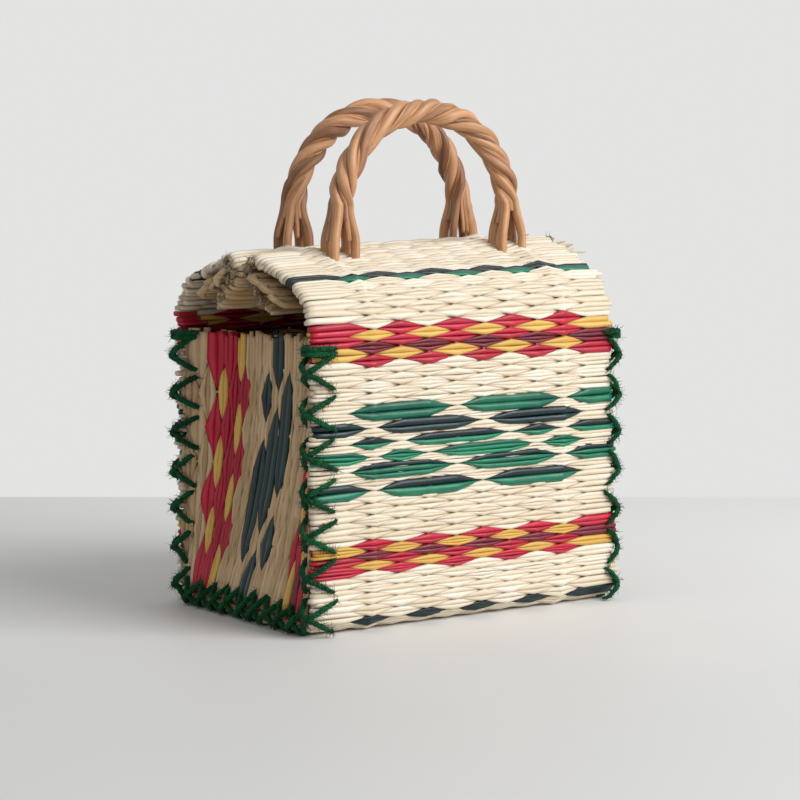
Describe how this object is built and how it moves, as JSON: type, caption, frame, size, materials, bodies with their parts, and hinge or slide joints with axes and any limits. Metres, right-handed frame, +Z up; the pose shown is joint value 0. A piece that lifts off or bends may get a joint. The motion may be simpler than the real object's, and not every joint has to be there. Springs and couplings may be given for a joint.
{
  "type": "basket box bag",
  "caption": "Woven reed box bag with pushed-in ends laced on with yarn, lid flaps that fold outwards from the wall tops, and a twisted rod handle on each flap.",
  "frame": {"origin": "on the ground under the middle of the base", "axes": "X runs along the width, Y from the front to the back and Z up"},
  "size_m": [0.2298, 0.1618, 0.3035],
  "materials": {
    "reed_mat": "semi-gloss dried reed, natural and dyed",
    "seam_yarn": "fuzzy wool yarn",
    "handle_rod": "peeled willow, satin"
  },
  "bodies": {
    "basket": {"body_mat": "reed_mat", "left_end_panel": "reed_mat", "right_end_panel": "reed_mat", "left_seam_yarn": "seam_yarn", "right_seam_yarn": "seam_yarn"},
    "front_lid": {"front_flap": "reed_mat", "front_handle_rod_1": "handle_rod", "front_handle_rod_2": "handle_rod", "front_handle_rod_3": "handle_rod", "front_handle_rod_4": "handle_rod"},
    "back_lid": {"back_flap": "reed_mat", "back_handle_rod_1": "handle_rod", "back_handle_rod_2": "handle_rod", "back_handle_rod_3": "handle_rod", "back_handle_rod_4": "handle_rod"}
  },
  "joints": [
    {"name": "front_lid_fold", "type": "hinge", "parent": "basket", "child": "front_lid", "pos_m": [0, -0.076, 0.166], "axis": [1, 0, 0], "range_deg": [0, 115]},
    {"name": "back_lid_fold", "type": "hinge", "parent": "basket", "child": "back_lid", "pos_m": [0, 0.076, 0.166], "axis": [-1, 0, 0], "range_deg": [0, 115]}
  ]
}
